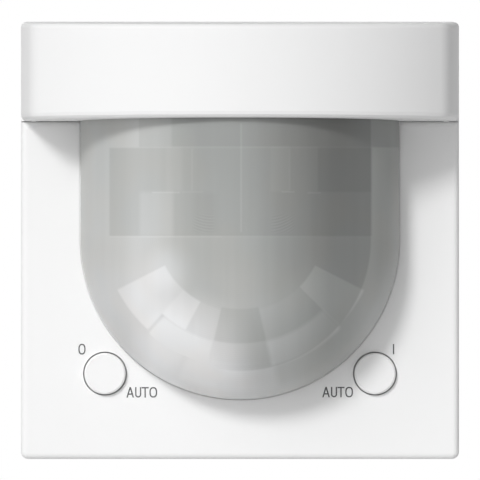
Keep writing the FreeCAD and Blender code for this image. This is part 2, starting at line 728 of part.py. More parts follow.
def main_board():
    board = slab(0, 0, 2 * BOARD_HALF, 2 * BOARD_HALF, BOARD_FRONT, BOARD_BACK)
    hole = HEADER_PIN_SIZE + 2 * HEADER_PIN_GAP
    tools = [slab(x, z, hole, hole, BOARD_FRONT - PAST, BOARD_BACK + PAST)
             for x, z in header_places()]
    x, z = WEDGE_PEG_PLACE
    tools += [slab(sign * x, sign * z, WEDGE_PEG_SIZE, WEDGE_PEG_SIZE,
                   BOARD_FRONT - PAST, BOARD_BACK + PAST) for name, sign in SIDES]
    return board.cut(Part.makeCompound(tools))


def standing(place, size, height):
    """A square-edged part that stands on the board's front face."""
    return slab(place[0], place[1], size[0], size[1], BOARD_FRONT - height, BOARD_FRONT)


def gull_pins(place, half_x, half_z, count, pitch, all_round):
    """Pins along the sides of a chip, from halfway up its side down to the board."""
    pins = []
    first = -(count - 1) * pitch / 2
    for step in range(count):
        offset = first + step * pitch
        for sign in (-1, 1):
            across = sign * (half_z + PIN_REACH / 2)
            pins.append(slab(place[0] + offset, place[1] + across, PIN_WIDTH, PIN_REACH,
                             BOARD_FRONT - PIN_THICKNESS, BOARD_FRONT))
            if all_round:
                across = sign * (half_x + PIN_REACH / 2)
                pins.append(slab(place[0] + across, place[1] + offset, PIN_REACH, PIN_WIDTH,
                                 BOARD_FRONT - PIN_THICKNESS, BOARD_FRONT))
    return pins


def chip_leads():
    half = CONTROLLER_SIZE / 2
    pins = gull_pins(CONTROLLER_PLACE, half, half, CONTROLLER_PINS, CONTROLLER_PITCH, True)
    return pins + gull_pins(AMPLIFIER_PLACE, AMPLIFIER_SIZE[0] / 2, AMPLIFIER_SIZE[1] / 2,
                            AMPLIFIER_PINS, AMPLIFIER_PITCH, False)


def voltage_regulator():
    body = standing(REGULATOR_PLACE, REGULATOR_SIZE, REGULATOR_HEIGHT)
    width, reach, thickness = REGULATOR_TAB
    z = REGULATOR_PLACE[1] - REGULATOR_SIZE[1] / 2 - reach / 2
    tab = slab(REGULATOR_PLACE[0], z, width, reach, BOARD_FRONT - thickness, BOARD_FRONT)
    return fused([body, tab])


def chip_components():
    first = -(CHIPS_PER_COLUMN - 1) * CHIP_PITCH / 2
    return [standing((sign * CHIP_COLUMN, first + step * CHIP_PITCH), CHIP_SIZE, CHIP_HEIGHT)
            for name, sign in SIDES for step in range(CHIPS_PER_COLUMN)]


# Buttons and tactile switches

def button(sign):
    x = sign * BUTTON_X
    front = FACE - BUTTON_PROUD
    cap = rod(x, BUTTON_Z, BUTTON_RADIUS, front, SHOULDER_FRONT)
    cap = bevelled(cap, BUTTON_EDGE, lambda edge: lies_at(edge, 1, front))
    shoulder = rod(x, BUTTON_Z, SHOULDER_RADIUS, SHOULDER_FRONT, SHOULDER_BACK)
    stem = slab(x, BUTTON_Z, STEM_SIZE, STEM_SIZE, SHOULDER_BACK, STEM_END)
    return fused([cap, shoulder, stem])


def tact_body(sign):
    x = sign * BUTTON_X
    body = slab(x, BUTTON_Z, TACT_SIZE, TACT_SIZE, TACT_FRONT, BOARD_FRONT)
    bore = rod(x, BUTTON_Z, PLUNGER_DIAMETER / 2 + PLUNGER_GAP, TACT_FRONT - PAST, PLUNGER_BORE)
    return body.cut(bore)


def tact_plunger(sign):
    return rod(sign * BUTTON_X, BUTTON_Z, PLUNGER_DIAMETER / 2, STEM_END, PLUNGER_BACK)


def tact_terminals():
    terminals = []
    for name, side in SIDES:
        for across in (-1, 1):
            for up in (-1, 1):
                x = side * BUTTON_X + across * (TACT_SIZE + TERMINAL_REACH) / 2
                z = BUTTON_Z + up * TERMINAL_PITCH / 2
                terminals.append(slab(x, z, TERMINAL_REACH, TERMINAL_WIDTH,
                                      BOARD_FRONT - TERMINAL_THICKNESS, BOARD_FRONT))
    return terminals


# Plug and rear housing

def connector_pins():
    front = BOARD_FRONT - LEAD_TAIL
    return [slab(x, z, HEADER_PIN_SIZE, HEADER_PIN_SIZE, front, -HEADER_PIN_INSET)
            for x, z in header_places()]


def pin_header():
    body = slab(0, 0, HEADER_WIDTH, HEADER_DEPTH, BOARD_BACK, BOARD_BACK + HEADER_HEIGHT)
    pins = [slab(x, z, HEADER_PIN_SIZE, HEADER_PIN_SIZE, BOARD_BACK, BOARD_BACK + HEADER_HEIGHT)
            for x, z in header_places()]
    return body.cut(Part.makeCompound(pins))


def rear_housing():
    shell = rounded_slab(HOUSING_HALF, HOUSING_CORNER, CHASSIS_BACK, BASE_BACK)
    shell = shell.cut(slab(0, 0, 2 * HOUSING_INSIDE, 2 * HOUSING_INSIDE,
                           CHASSIS_BACK - PAST, BASE_FRONT))
    half = COLLAR_SIZE / 2
    collar = rounded_slab(half, COLLAR_CORNER, BASE_BACK, 0)
    inner = 2 * (half - COLLAR_WALL)
    collar = collar.cut(slab(0, 0, inner, inner, BASE_BACK - PAST, PAST))
    detent = block(half - DETENT_DEPTH, half + PAST,
                   -DETENT_PLACE - DETENT_WIDTH / 2, -DETENT_PLACE + DETENT_WIDTH / 2,
                   -DETENT_LENGTH / 2, DETENT_LENGTH / 2)
    shell = fused([shell, collar] + clamp_posts(BOARD_BACK, BASE_FRONT))
    window = slab(0, 0, HEADER_WIDTH + 2 * HEADER_GAP, HEADER_DEPTH + 2 * HEADER_GAP,
                  BASE_FRONT - PAST, BASE_BACK + PAST)
    return shell.cut(Part.makeCompound([window] + on_four_sides(detent)
                                       + on_four_sides(hook_notch())))


# Files

os.makedirs("parts", exist_ok=True)
save("front_plate", [front_plate()])
save("hood", [hood()])
save("lens_dome", [lens_dome()])
save("chassis", [chassis()])
save("light_baffle", [light_baffle()])
save("sensor_bracket", [sensor_bracket()])
save("pyro_windows", [pyro_window(sign) for name, sign in SIDES])
save("pyro_leads", pyro_leads())
save("status_led", [status_led()])
save("light_sensor", [light_sensor()])
save("light_guide", [light_guide()])
save("main_board", [main_board()])
save("microcontroller", [standing(CONTROLLER_PLACE, (CONTROLLER_SIZE, CONTROLLER_SIZE),
                                  CONTROLLER_HEIGHT)])
save("amplifier", [standing(AMPLIFIER_PLACE, AMPLIFIER_SIZE, AMPLIFIER_HEIGHT)])
save("capacitor", [standing(CAPACITOR_PLACE, CAPACITOR_SIZE, CAPACITOR_HEIGHT)])
save("voltage_regulator", [voltage_regulator()])
save("chip_components", chip_components())
save("chip_leads", chip_leads())
save("tact_terminals", tact_terminals())
save("pin_header", [pin_header()])
save("connector_pins", connector_pins())
save("rear_housing", [rear_housing()])
for side_name, side_sign in SIDES:
    save("pyro_" + side_name, [pyro(side_sign)])
    save("tact_body_" + side_name, [tact_body(side_sign)])
    save("tact_plunger_" + side_name, [tact_plunger(side_sign)])
    save("button_" + side_name, [button(side_sign)])
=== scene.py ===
"""Motion detector for a 55 mm wall range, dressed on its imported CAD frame.

Row frame: metres, +Z up the wall, -Y out of the wall into the room, +X to the right.
"""

import json
import math

import bpy
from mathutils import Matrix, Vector


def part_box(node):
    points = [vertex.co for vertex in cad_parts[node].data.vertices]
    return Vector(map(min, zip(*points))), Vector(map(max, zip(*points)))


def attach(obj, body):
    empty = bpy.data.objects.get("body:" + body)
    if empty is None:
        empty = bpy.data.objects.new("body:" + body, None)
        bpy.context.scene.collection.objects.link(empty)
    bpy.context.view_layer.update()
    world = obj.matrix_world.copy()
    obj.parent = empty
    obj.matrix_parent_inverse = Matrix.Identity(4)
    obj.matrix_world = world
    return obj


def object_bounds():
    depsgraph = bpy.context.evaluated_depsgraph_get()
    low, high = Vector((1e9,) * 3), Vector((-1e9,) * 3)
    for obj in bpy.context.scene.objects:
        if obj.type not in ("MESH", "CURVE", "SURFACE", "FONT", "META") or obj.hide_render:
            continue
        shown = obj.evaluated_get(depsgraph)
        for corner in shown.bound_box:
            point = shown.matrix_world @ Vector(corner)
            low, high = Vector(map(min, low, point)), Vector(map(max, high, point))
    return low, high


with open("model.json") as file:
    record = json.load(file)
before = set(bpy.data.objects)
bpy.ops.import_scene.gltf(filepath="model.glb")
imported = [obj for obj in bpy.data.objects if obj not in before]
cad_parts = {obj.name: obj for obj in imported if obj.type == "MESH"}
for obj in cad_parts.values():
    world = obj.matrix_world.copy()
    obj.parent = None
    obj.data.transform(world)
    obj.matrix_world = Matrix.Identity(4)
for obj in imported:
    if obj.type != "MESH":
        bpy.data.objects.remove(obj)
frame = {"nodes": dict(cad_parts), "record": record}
cad_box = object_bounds()

# Sizes, in metres

MM = 0.001
MICRON = 0.001 * MM
FACE_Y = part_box("front_plate")[0][1]     # the plate's front face
FRAME_WIDTH = 60.27 * MM       # what the photograph's frame takes in, at the face
CAMERA_LENS = 1400.0           # long, because the photograph is nearly without perspective
SENSOR_WIDTH = 36.0
CAMERA_DISTANCE = FRAME_WIDTH * CAMERA_LENS / SENSOR_WIDTH
CLIP_START = 0.1
CLIP_END = 20.0
FLOOR_DROP = 26.0 * MM         # how far the floor lies below the object
FLOOR_HALF = 1.4               # half the floor's width and depth

# Lamps, room and floor

TO_KEY = Vector((-0.408, -1.0, 0.53)).normalized()
TO_SOFT = Vector((-0.62, -1.0, 0.53)).normalized()
TO_BEHIND = Vector((0.0, 0.99, 0.10))
LAMPS = (                      # name, towards the lamp, strength, how wide it looks in radians
    ("key", TO_KEY, 1.29, 0.20),
    ("key_soft", TO_SOFT, 0.45, 0.80),
    ("behind", TO_BEHIND, 0.80, 0.50),
)
ROOM_LEVEL = 0.18              # light from the sides and behind
ROOM_FRONT = 0.46              # more of it from the room in front
ROOM_LEFT = 0.11               # more from the left, and as much less from the right
FLOOR_GREY = 0.90
FLOOR_MOTTLE = 0.005           # how far its grey varies, each way
FLOOR_GLOW = 0.45              # lifts the floor towards white for rays that see it directly


# Node building

class Shader:
    """A material's node tree with one Principled shader, and short calls for the nodes that feed it."""

    def __init__(self, name, base, roughness, **sockets):
        self.material = bpy.data.materials.new(name)
        self.material.use_nodes = True
        self.tree = self.material.node_tree
        self.tree.nodes.clear()
        self.output = self.tree.nodes.new("ShaderNodeOutputMaterial")
        self.main = self.tree.nodes.new("ShaderNodeBsdfPrincipled")
        self.tree.links.new(self.main.outputs["BSDF"], self.output.inputs["Surface"])
        self.main.inputs["Base Color"].default_value = (*base, 1.0)
        self.main.inputs["Roughness"].default_value = roughness
        for socket, value in sockets.items():
            self.main.inputs[socket.replace("_", " ")].default_value = value
        self.coordinates = None

    def node(self, kind, **settings):
        made = self.tree.nodes.new(kind)
        for key, value in settings.items():
            setattr(made, key, value)
        return made

    def feed(self, socket, value):
        if isinstance(value, bpy.types.NodeSocket):
            self.tree.links.new(value, socket)
        else:
            socket.default_value = value

    def place(self):
        """The object's own coordinates, which stay with it in every pose and view."""
        if self.coordinates is None:
            self.coordinates = self.node("ShaderNodeTexCoord").outputs["Object"]
        return self.coordinates

    def scaled(self, factors):
        mapping = self.node("ShaderNodeMapping")
        self.feed(mapping.inputs["Vector"], self.place())
        mapping.inputs["Scale"].default_value = factors
        return mapping.outputs["Vector"]

    def math(self, operation, *values):
        made = self.node("ShaderNodeMath", operation=operation)
        for socket, value in zip(made.inputs, values):
            self.feed(socket, value)
        return made.outputs[0]

    def ramp(self, value, low, high, to_low=0.0, to_high=1.0):
        """A smooth step between two limits, which may run either way."""
        made = self.node("ShaderNodeMapRange", interpolation_type="SMOOTHSTEP")
        self.feed(made.inputs["Value"], value)
        limits = {"From Min": low, "From Max": high, "To Min": to_low, "To Max": to_high}
        for socket, number in limits.items():
            self.feed(made.inputs[socket], number)
        return made.outputs["Result"]

    def noise(self, scale, detail=2.0, roughness=0.5, vector=None):
        made = self.node("ShaderNodeTexNoise")
        self.feed(made.inputs["Vector"], vector if vector is not None else self.place())
        made.inputs["Scale"].default_value = scale
        made.inputs["Detail"].default_value = detail
        made.inputs["Roughness"].default_value = roughness
        return made.outputs["Fac"]

    def blend(self, factor, first, second):
        made = self.node("ShaderNodeMix", data_type="RGBA")
        self.feed(made.inputs["Factor"], factor)
        colours = [socket for socket in made.inputs if socket.type == "RGBA"]
        for socket, colour in zip(colours, (first, second)):
            if isinstance(colour, tuple):
                colour = (*colour, 1.0)
            self.feed(socket, colour)
        return [socket for socket in made.outputs if socket.type == "RGBA"][0]

    def bump(self, height, depth):
        made = self.node("ShaderNodeBump")
        made.inputs["Strength"].default_value = 1.0
        made.inputs["Distance"].default_value = depth
        self.feed(made.inputs["Height"], height)
        self.tree.links.new(made.outputs["Normal"], self.main.inputs["Normal"])

    def colour(self, source):
        self.tree.links.new(source, self.main.inputs["Base Color"])

    def gloss(self, source):
        self.tree.links.new(source, self.main.inputs["Roughness"])


def shade(colour, factor):
    return tuple(min(1.0, channel * factor) for channel in colour)


# Plastics, metals and the board

COLOURS = {entry["slot"]: tuple(entry["base_color"][:3]) for entry in frame["record"]["materials"]}


def moulded(name, colour, roughness, grain, depth, cloud, **sockets):
    """Moulded plastic: a fine grain from the tool's surface, with its depth in microns, and a faint
    uneven flow in the colour, whose strength is the cloud."""
    shader = Shader(name, colour, roughness, **sockets)
    flow = shader.noise(90.0, 3.0)
    shader.colour(shader.blend(flow, shade(colour, 1 - cloud), shade(colour, 1 + cloud)))
    fine = shader.noise(grain, 3.0, 0.6)
    shader.gloss(shader.ramp(fine, 0.3, 0.7, roughness - 0.03, roughness + 0.03))
    shader.bump(fine, depth * MICRON)
    return shader.material


def drawn_metal(name, colour, roughness, stretch):
    """Metal with fine lines from drawing or rolling."""
    shader = Shader(name, colour, roughness, Metallic=1.0)
    lines = shader.noise(900.0, 4.0, 0.6, shader.scaled(stretch))
    shader.colour(shader.blend(lines, shade(colour, 0.86), shade(colour, 1.08)))
    shader.gloss(shader.ramp(lines, 0.3, 0.7, roughness - 0.08, roughness + 0.10))
    shader.bump(lines, 6 * MICRON)
    return shader.material


def moulded_chip():
    """Epoxy package: fine pitted texture."""
    colour = COLOURS["chip_black"]
    shader = Shader("chip_epoxy", colour, 0.6)
    grain = shader.noise(9000.0, 4.0, 0.7)
    shader.colour(shader.blend(grain, shade(colour, 0.7), shade(colour, 1.5)))
    shader.gloss(shader.ramp(grain, 0.3, 0.7, 0.5, 0.72))
    shader.bump(grain, 8 * MICRON)
    return shader.material


def lacquered_board():
    """Solder mask over copper: lighter tracks on a darker ground, with the glass weave faintly showing."""
    ground = COLOURS["board_green"]
    over_copper = (0.05, 0.30, 0.13)
    between_threads = (0.02, 0.13, 0.06)
    shader = Shader("board_lacquer", ground, 0.32, Coat_Weight=0.25)
    cells = shader.node("ShaderNodeTexBrick")
    shader.feed(cells.inputs["Vector"], shader.scaled((420.0, 420.0, 420.0)))
    cells.inputs["Mortar Size"].default_value = 0.03
    weave = shader.noise(2600.0, 2.0, 0.5, shader.scaled((1.0, 1.0, 0.2)))
    tracks = shader.math("MULTIPLY", cells.outputs["Fac"], 0.6)
    mixed = shader.blend(tracks, ground, over_copper)
    shader.colour(shader.blend(shader.ramp(weave, 0.4, 0.7, 0.0, 0.3), mixed, between_threads))
    shader.bump(cells.outputs["Fac"], 20 * MICRON)
    return shader.material


def clear_rod():
    shader = Shader("guide_rod", COLOURS["guide_clear"], 0.08, Transmission_Weight=1.0, IOR=1.49)
    shader.gloss(shader.ramp(shader.noise(3000.0), 0.3, 0.7, 0.04, 0.14))
    return shader.material


def coated_window():
    shader = Shader("sensor_window", COLOURS["window_dark"], 0.15, Metallic=0.6)
    # painted sheen: the coating's tint drifts between violet and a warmer red
    painted_sheen = shader.noise(300.0)
    shader.colour(shader.blend(painted_sheen, (0.10, 0.09, 0.15), (0.16, 0.12, 0.13)))
    return shader.material


def lamp_resin():
    shader = Shader("lamp_resin", COLOURS["led_red"], 0.12, Transmission_Weight=0.5, IOR=1.5)
    shader.colour(shader.blend(shader.noise(700.0), (0.55, 0.04, 0.03), (0.68, 0.07, 0.05)))
    return shader.material


# The lens's skin, with places in mm

CELLS_FOOT = 0.5               # two rows of upright cells, and the strip above them
CELLS_SPLIT = 6.0
CELLS_TOP = 11.6
STRIP_TOP = 17.0
FAN_HEIGHT = 1.6               # the lower fields fan out from this point above the lens's middle
FANS_NEAR = 10.5               # where the fans start, as a distance from that point
FANS_SPLIT = 14.6              # and where their outer ring does
SEAM_HALF = 0.10               # half a level seam's width
SEAM_SOFT = 0.14               # and how soft every seam's edges are
ARCS_ASIDE = 3.6               # where the moulded arcs turn, left and right of the lens's middle
ARCS_RATE = 17.0               # radians per mm up
ARCS_BEND = 1.9                # radians per square mm aside from there
RINGS_RATE = 26.0              # radians per mm out
RIM_PAINTED_GREY = 0.93                # as pale as the plate: painted light, so the gap round the lens shows no shade
RIM_START = FACE_Y / MM - 0.02     # the rim's grey sets in between these two, at the plate's face
RIM_FULL = FACE_Y / MM + 0.04
LENS_GREY = 0.522              # before any field makes it lighter or darker
LENS_PALEST = 0.98             # no place gets paler
LENS_CAST = (0.988, 1.010, 0.980)      # red, green and blue where the lens is dark
WARMTH = 0.007                 # how far a place turns warmer or cooler
WARMTH_LEAN = (1.0, 0.0, -1.0)         # how red, green and blue follow a warmer place


class LensMap:
    """Soft-edged fields on the lens, in mm across and up the face, or fanned round a point on it."""

    ONE_STEP = 1.05            # how much lighter one step is

    def __init__(self, shader):
        self.shader = shader
        parts = shader.node("ShaderNodeSeparateXYZ")
        shader.feed(parts.inputs["Vector"], shader.scaled((1 / MM, 1 / MM, 1 / MM)))
        self.across, self.back, self.up = parts.outputs
        # out from the lens's middle: from an upright line in its upper half, from a point below
        self.girth = self.length(self.across, shader.math("MINIMUM", self.up, 0.0))
        # out from the fans' point, and round it in degrees from straight down
        drop = shader.math("SUBTRACT", FAN_HEIGHT, self.up)
        self.out = self.length(self.across, drop)
        self.turn = self.times(shader.math("ARCTAN2", self.across, drop), math.degrees(1))
        self.level = None

    def length(self, across, up):
        squares = [self.times(value, value) for value in (across, up)]
        return self.shader.math("SQRT", self.shader.math("ADD", *squares))

    def times(self, first, second):
        return self.shader.math("MULTIPLY", first, second)

    def band(self, value, low, high, soft):
        """1 between two limits, with a soft step at each."""
        middle, half = (low + high) / 2, (high - low) / 2
        apart = self.shader.math("ABSOLUTE", self.shader.math("SUBTRACT", value, middle))
        return self.shader.ramp(apart, half - soft / 2, half + soft / 2, 1.0, 0.0)

    def box(self, left, right, low, high, soft=0.3):
        return self.times(self.band(self.across, left, right, soft), self.band(self.up, low, high, soft))

    def fan(self, start, end, near, far, soft=0.35):
        """Between two turns from straight down (to the left negative) and two distances out."""
        turn_soft = math.degrees(soft / ((near + far) / 2))
        return self.times(self.band(self.turn, start, end, turn_soft), self.band(self.out, near, far, soft))

    def glow(self, across, up, far, near):
        """A round place, full up to the near distance from its middle and gone at the far one."""
        apart = self.length(self.shader.math("SUBTRACT", self.across, across),
                            self.shader.math("SUBTRACT", self.up, up))
        return self.shader.ramp(apart, far, near)

    def tint(self, steps, mask):
        """Inside the mask the level is so many steps lighter, or darker when negative."""
        gain = self.shader.math("MULTIPLY_ADD", mask, self.ONE_STEP ** steps - 1.0, 1.0)
        self.level = gain if self.level is None else self.times(self.level, gain)


def paint_light(fields):
    """The broad light and dark: brightest at the lower left, dim in the middle, dark on the right."""
    across, up, girth = fields.across, fields.up, fields.girth
    ramp, tint = fields.shader.ramp, fields.tint
    right_half = ramp(across, -6.0, 6.0)
    tint(2, ramp(across, -16.3, -12.0))
    tint(-7, ramp(across, -12.5, -5.0))
    tint(-6, ramp(across, -1.0, 7.0))
    tint(-6, ramp(across, 5.0, 11.5))
    tint(4, ramp(across, 12.5, 16.3))
    tint(4, ramp(up, 0.0, -9.0))
    tint(2, ramp(up, 14.0, 0.0))
    tint(9, fields.glow(-6.0, -14.6, 9.0, 1.0))
    tint(3, fields.glow(-2.0, -18.0, 6.0, 1.0))
    tint(3, fields.glow(-8.8, -3.5, 4.0, 0.5))
    tint(5, fields.times(ramp(girth, 16.2, 16.5), right_half))
    tint(2, fields.times(ramp(girth, 18.2, 19.8), right_half))


def paint_cells(fields):
    """Two rows of upright lens cells, and the strip above them. Their steps are painted light and shade, as
    it comes through each cell.
    """
    box, tint = fields.box, fields.tint
    tint(-3, box(-16.3, 16.5, CELLS_FOOT, 11.5))
    tint(-2, box(9.7, 16.4, CELLS_SPLIT, CELLS_TOP))
    tint(2, box(-12.5, -8.3, CELLS_FOOT, CELLS_SPLIT, 0.8))
    tint(1, box(-9.2, -7.2, CELLS_SPLIT, CELLS_TOP, 0.8))
    tint(-1, box(-5.8, -2.8, 0.8, 5.9, 1.2))
    tint(1, box(3.8, 6.2, CELLS_SPLIT, 11.7, 0.5))
    # the strip's darker step is partly its own tone, partly painted shade under the hood
    tint(-4, box(-8.5, 20.5, CELLS_TOP, STRIP_TOP, 0.35))
    tint(-2, box(-12.6, -8.5, CELLS_TOP, STRIP_TOP, 0.2))


def paint_fans(fields):
    """The plain round field in the middle, and the fans below it. Their steps are painted light and shade:
    the fans lighter where the facets behind catch the light, the middle darker where the dark inside shows
    through.
    """
    ramp, fan, tint = fields.shader.ramp, fields.fan, fields.tint
    tint(-1, fields.times(ramp(fields.out, 10.8, 8.0), ramp(fields.up, 0.45, 0.25)))
    tint(3, fan(-63.0, -42.0, FANS_NEAR, 17.2))
    tint(4, fan(-42.0, -28.0, FANS_NEAR, 14.5))
    tint(1, fan(-28.0, -13.0, FANS_NEAR, FANS_SPLIT))
    tint(3, fan(-40.5, -13.5, FANS_SPLIT, 17.4, 0.5))
    tint(-2, fan(-13.0, 13.0, 10.2, 14.5))
    tint(1, fan(-13.5, 13.0, 14.5, 17.3, 0.5))
    tint(2, fan(-22.0, 14.0, 17.3, 20.5, 1.2))
    tint(4, fan(45.0, 63.0, FANS_NEAR, 17.4))
    tint(5, fan(13.0, 45.0, FANS_SPLIT, 17.8, 0.7))
    tint(1, fan(13.0, 45.0, FANS_NEAR, FANS_SPLIT, 0.5))


def paint_seams(fields):
    """Seams between the cells, as thin pale lines of painted light: first the level ones, then the upright
    ones.
    """

    def level_seam(steps, left, right, height):
        line = fields.box(left, right, height - SEAM_HALF, height + SEAM_HALF, SEAM_SOFT)
        fields.tint(steps, line)

    def upright_seam(steps, left, right, low, high):
        fields.tint(steps, fields.box(left, right, low, high, SEAM_SOFT))

    level_seam(2, -11.0, -7.5, 5.92)
    level_seam(1, -7.2, -4.6, 5.98)
    level_seam(2, 5.2, 6.8, 6.00)
    level_seam(2, 8.4, 10.1, 5.88)
    level_seam(1, -16.3, -2.2, 0.42)
    upright_seam(2, 0.02, 0.26, 1.0, 14.5)
    upright_seam(1, 6.05, 6.30, 6.2, 11.4)
    upright_seam(1, -6.10, -5.85, 6.2, 11.4)


def paint_grooves(fields):
    """Moulded grooves: faint arcs at the foot of two cells, rings in the fans, upright streaks."""
    shader, box = fields.shader, fields.box
    aside = shader.math("SUBTRACT", shader.math("ABSOLUTE", fields.across), ARCS_ASIDE)
    bend = fields.times(fields.times(aside, aside), -ARCS_BEND)
    arcs = shader.math("SINE", shader.math("MULTIPLY_ADD", fields.up, ARCS_RATE, bend))
    feet = shader.math("ADD", box(-5.7, -3.3, 1.0, 3.1, 0.8), box(4.0, 6.7, 1.0, 3.1, 0.8))
    fields.tint(1, fields.times(feet, arcs))
    rings = shader.math("SINE", fields.times(fields.out, RINGS_RATE))
    fields.tint(0.2, fields.times(rings, shader.ramp(fields.up, 0.4, 0.0)))
    streaks = shader.noise(650.0, 2.0, 0.5, shader.scaled((1.0, 0.05, 0.05)))
    fields.tint(0.6, shader.ramp(streaks, 0.3, 0.7, -0.5, 0.5))


def milky_lens():
    """Milky polyethylene skin. It is opaque, so its lens fields, and the light and dark that come
    through the real one, are painted where the photograph shows them. They don't follow the
    facets behind the skin."""
    shader = Shader("lens_skin", (0.5, 0.5, 0.5), 0.45, Specular_IOR_Level=0.2)
    fields = LensMap(shader)
    for paint in (paint_light, paint_cells, paint_fans, paint_seams, paint_grooves):
        paint(fields)
    level = shader.math("MINIMUM", fields.times(fields.level, LENS_GREY), LENS_PALEST)
    # the thick rim fills the plate's opening, behind its face; it is painted as pale as the plate, painted
    # light over the shade in the gap round the lens
    rim = shader.ramp(fields.back, RIM_START, RIM_FULL, 0.0, RIM_PAINTED_GREY)
    level = shader.math("MAXIMUM", level, rim)
    warm = shader.ramp(shader.noise(140.0, 1.0), 0.35, 0.65, -WARMTH, WARMTH)
    grey = shader.node("ShaderNodeCombineColor")
    for socket, lean, cast in zip(grey.inputs, WARMTH_LEAN, LENS_CAST):
        share = shader.math("MULTIPLY_ADD", warm, lean, shader.ramp(level, 0.35, 0.85, cast, 1.0))
        shader.feed(socket, fields.times(level, share))
    shader.colour(grey.outputs[0])
    shader.bump(shader.noise(2500.0), 2 * MICRON)
    return shader.material


# Every slot's material

COVERS = {"cover_white": "cover_plastic", "button_white": "button_plastic"}
COVER_FINISH = {"roughness": 0.52, "grain": 6000.0, "depth": 4, "cloud": 0.004, "Specular_IOR_Level": 0.15}
MOULDINGS = {                  # slot: name, roughness, grain per metre, its depth in microns, cloud
    "carrier_grey": ("carrier_plastic", 0.62, 4500.0, 12, 0.04),
    "baffle_black": ("baffle_plastic", 0.75, 4500.0, 15, 0.15),
    "capacitor_yellow": ("capacitor_case", 0.50, 5000.0, 8, 0.05),
    "chip_tan": ("ceramic_tan", 0.55, 6000.0, 6, 0.08),
    "plunger_brown": ("plunger_plastic", 0.50, 5000.0, 6, 0.06),
    "header_black": ("header_plastic", 0.55, 5000.0, 10, 0.12),
    "rear_grey": ("rear_plastic", 0.58, 4500.0, 12, 0.03),
}
METALS = {                     # slot: name, roughness, how the fine lines are stretched
    "can_steel": ("can_metal", 0.28, (1.0, 1.0, 0.1)),
    "lead_tin": ("tinned_wire", 0.30, (1.0, 0.15, 1.0)),
    "pin_brass": ("gilt_pin", 0.24, (1.0, 0.1, 1.0)),
}
materials = {
    "lens_milky": milky_lens(),
    "window_dark": coated_window(),
    "led_red": lamp_resin(),
    "guide_clear": clear_rod(),
    "board_green": lacquered_board(),
    "chip_black": moulded_chip(),
}
for slot, name in COVERS.items():
    materials[slot] = moulded(name, COLOURS[slot], **COVER_FINISH)
for slot, (name, *finish) in MOULDINGS.items():
    materials[slot] = moulded(name, COLOURS[slot], *finish)
for slot, (name, *finish) in METALS.items():
    materials[slot] = drawn_metal(name, COLOURS[slot], *finish)

for subpart in frame["record"]["subparts"]:
    node = frame["nodes"][subpart["node"]]
    for place in node.material_slots:
        place.material = materials[subpart["material_slot"]]


# Printed marks

STROKE = 0.155 * MM            # how thick the letters' lines are
OVAL_POINTS = 40
OVAL_POWER = 0.80              # 1 is an ellipse, and less is squarer
BOWL_STEPS = 16                # straight steps round the U's foot
WORD_HEIGHT = 1.31 * MM
WORD_WIDTHS = (0.95 * MM, 0.75 * MM, 0.88 * MM, 0.96 * MM)
WORD_STARTS = (0.0, 1.10 * MM, 1.91 * MM, 2.89 * MM)     # each letter's left edge from the word's
ZERO_SIZE = (0.89 * MM, 1.34 * MM)
ONE_SIZE = (STROKE, 1.28 * MM)
ZERO_PLACE = (-20.29 * MM, -14.38 * MM)      # each mark's left edge and foot on the face
ONE_PLACE = (19.20 * MM, -14.34 * MM)
WORD_LEFT_PLACE = (-14.26 * MM, -19.78 * MM)
WORD_RIGHT_PLACE = (10.33 * MM, -19.75 * MM)
MARK_LIFT = 0.02 * MM          # how proud the print stands of the plate
MARK_ROOT = 0.01 * MM          # and how deep its back lies in it
INK = (0.078, 0.079, 0.082)


def oval(width, height, inset=0.0):
    """A rounded upright ring line, flat at the sides as in condensed lettering."""
    points = []
    half_width, half_height = width / 2 - inset, height / 2 - inset
    for step in range(OVAL_POINTS):
        angle = 2 * math.pi * step / OVAL_POINTS
        cosine, sine = math.cos(angle), math.sin(angle)
        x = math.copysign(abs(cosine) ** OVAL_POWER, cosine) * half_width
        z = math.copysign(abs(sine) ** OVAL_POWER, sine) * half_height
        points.append((width / 2 + x, height / 2 + z))
    return points


def letter_o(width, height):
    return [oval(width, height), oval(width, height, STROKE)]


def letter_i(width, height):
    return [[(0, 0), (width, 0), (width, height), (0, height)]]


def letter_a(width, height):
    middle = width / 2
    tip = STROKE * 0.56            # half the flat top
    slant = STROKE * 1.06          # a leg's width along the foot
    low = height * 0.27            # the crossbar's lower edge
    high = low + STROKE
    top = height - STROKE * 1.9    # where the legs meet inside

    def inner(z):
        """The inner edge's distance from the middle at a height."""
        return (middle - slant) * (1 - z / top)

    outer = [(0, 0), (middle - tip, height), (middle + tip, height), (width, 0), (width - slant, 0),
             (middle + inner(low), low), (middle - inner(low), low), (slant, 0)]
    hole = [(middle - inner(high), high), (middle + inner(high), high), (middle, top)]
    return [outer, hole]


def letter_u(width, height):
    middle = width / 2
    bowl = middle - STROKE
    outer = [(0, height), (0, middle)]
    inner = []
    for step in range(1, BOWL_STEPS):
        angle = math.pi * (1 + step / BOWL_STEPS)
        cosine, sine = math.cos(angle), math.sin(angle)
        outer.append((middle + middle * cosine, middle + middle * sine))
        inner.append((middle + bowl * cosine, middle + bowl * sine))
    outer += [(width, middle), (width, height), (width - STROKE, height), (width - STROKE, middle)]
    return [outer + inner[::-1] + [(STROKE, middle), (STROKE, height)]]


def letter_t(width, height):
    left, right = (width - STROKE) / 2, (width + STROKE) / 2
    bar = height - STROKE
    foot = [(left, 0), (right, 0), (right, bar)]
    top = [(width, bar), (width, height), (0, height), (0, bar)]
    return [foot + top + [(left, bar)]]


